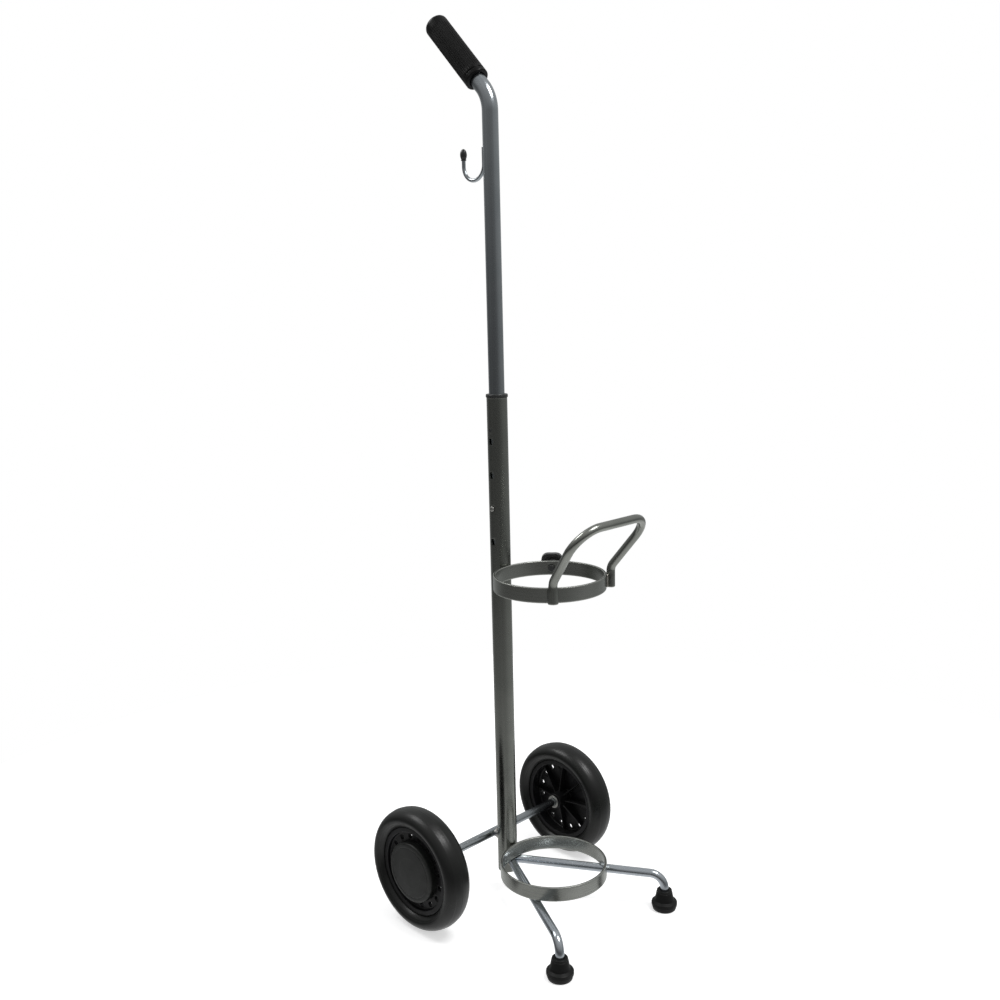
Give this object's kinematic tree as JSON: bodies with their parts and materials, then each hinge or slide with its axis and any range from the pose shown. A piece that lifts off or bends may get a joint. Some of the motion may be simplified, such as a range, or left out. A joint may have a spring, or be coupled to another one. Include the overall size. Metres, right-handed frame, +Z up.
{
  "type": "single-cylinder gas cart",
  "caption": "Small oxygen cylinder cart: telescopic pole with angled grip and hook, two flat-band rings with a thumb screw clamp, lift bail, axle with wheels and rubber-tipped legs.",
  "frame": {"origin": "centre of the footprint on the floor, under the wheels and the feet", "axes": "+Z up along the pole, +Y towards the back where the axle and the grip are, +X to the right as seen from the front, where the rings are"},
  "size_m": [0.268, 0.2577, 0.9654],
  "materials": {
    "chrome": "plated steel, slightly dull",
    "bright_chrome": "bright plated steel",
    "zinc": "zinc plated, satin",
    "spring_steel": "oiled spring steel",
    "black_plastic": "moulded black, semi-gloss",
    "hub_plastic": "moulded black, matt",
    "cap_plastic": "moulded dark grey, satin",
    "grip_vinyl": "soft black, lengthwise ribs",
    "rubber": "black rubber, dull",
    "tyre": "smooth black tyre, slight gloss"
  },
  "bodies": {
    "frame": {"outer_tube": "chrome", "pole_end_plug": "black_plastic", "tube_bushing": "black_plastic", "upper_ring": "chrome", "upper_ring_weld": "zinc", "lower_ring": "chrome", "lower_ring_weld": "zinc", "lift_bail": "chrome", "clamp_nut": "zinc", "axle": "bright_chrome", "axle_weld": "chrome", "left_leg": "bright_chrome", "right_leg": "bright_chrome", "left_foot": "rubber", "right_foot": "rubber", "left_axle_washer": "zinc", "right_axle_washer": "zinc", "left_push_nut": "zinc", "right_push_nut": "zinc"},
    "handle": {"inner_tube": "bright_chrome", "grip": "grip_vinyl", "hook_wire": "bright_chrome", "hook_cap": "black_plastic", "button_spring": "spring_steel"},
    "snap_button": {"snap_button": "zinc"},
    "clamp_pad": {"clamp_pad": "black_plastic"},
    "clamp_screw": {"clamp_screw": "zinc", "clamp_knob": "black_plastic"},
    "left_wheel": {"left_tyre": "tyre", "left_hub": "hub_plastic", "left_hub_cap": "cap_plastic"},
    "right_wheel": {"right_tyre": "tyre", "right_hub": "hub_plastic", "right_hub_cap": "cap_plastic"}
  },
  "joints": [
    {"name": "handle_slide", "type": "slide", "parent": "frame", "child": "handle", "axis": [0, 0, 1], "range_m": [-0.0365, 0.073], "deforming": ["snap_button"]},
    {"name": "button_press", "type": "slide", "parent": "handle", "child": "snap_button", "axis": [1, 0, 0], "range_m": [0, 0.0035], "stiffness_N_per_m": 2000, "springref_m": -0.001, "deforming": ["button_spring"]},
    {"name": "clamp_pad_slide", "type": "slide", "parent": "frame", "child": "clamp_pad", "axis": [-0.766, -0.6428, 0], "range_m": [0, 0.008]},
    {"name": "clamp_screw_turn", "type": "hinge", "parent": "clamp_pad", "child": "clamp_screw", "pos_m": [0, -0.0307, 0.38155], "axis": [-0.766, -0.6428, 0], "range_deg": [0, 2881]},
    {"name": "left_wheel_spin", "type": "hinge", "parent": "frame", "child": "left_wheel", "pos_m": [-0.118, 0.0583, 0.068], "axis": [1, 0, 0], "continuous": true},
    {"name": "right_wheel_spin", "type": "hinge", "parent": "frame", "child": "right_wheel", "pos_m": [0.118, 0.0583, 0.068], "axis": [1, 0, 0], "continuous": true}
  ],
  "couplings": [
    {"joint": "clamp_screw_turn", "follows": "clamp_pad_slide", "rad_per_m": 6283.2}
  ]
}
